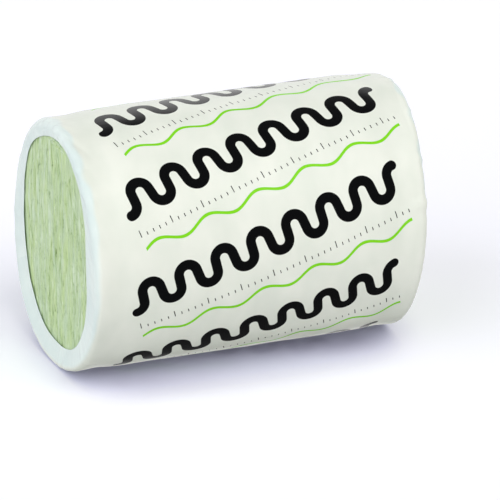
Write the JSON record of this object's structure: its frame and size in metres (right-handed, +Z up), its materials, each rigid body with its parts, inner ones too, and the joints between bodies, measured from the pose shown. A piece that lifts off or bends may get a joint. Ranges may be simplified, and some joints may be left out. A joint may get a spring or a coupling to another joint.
{
  "type": "insulation roll",
  "caption": "Roll of mineral-wool insulation mat lying on its side in a printed film wrap that folds over both ends and leaves an oval opening where the wound turns show.",
  "frame": {"origin": "on the floor under the middle of the roll, which lies on its side", "axes": "+X along the roll, +Z up, -Y towards the side that the picture shows"},
  "size_m": [1, 0.72, 0.72],
  "materials": {
    "mineral_wool": "matte fibre",
    "wrap_film": "satin polyethylene film"
  },
  "bodies": {
    "root": {"wool_roll": "mineral_wool", "film_wrap": "wrap_film"}
  },
  "joints": []
}
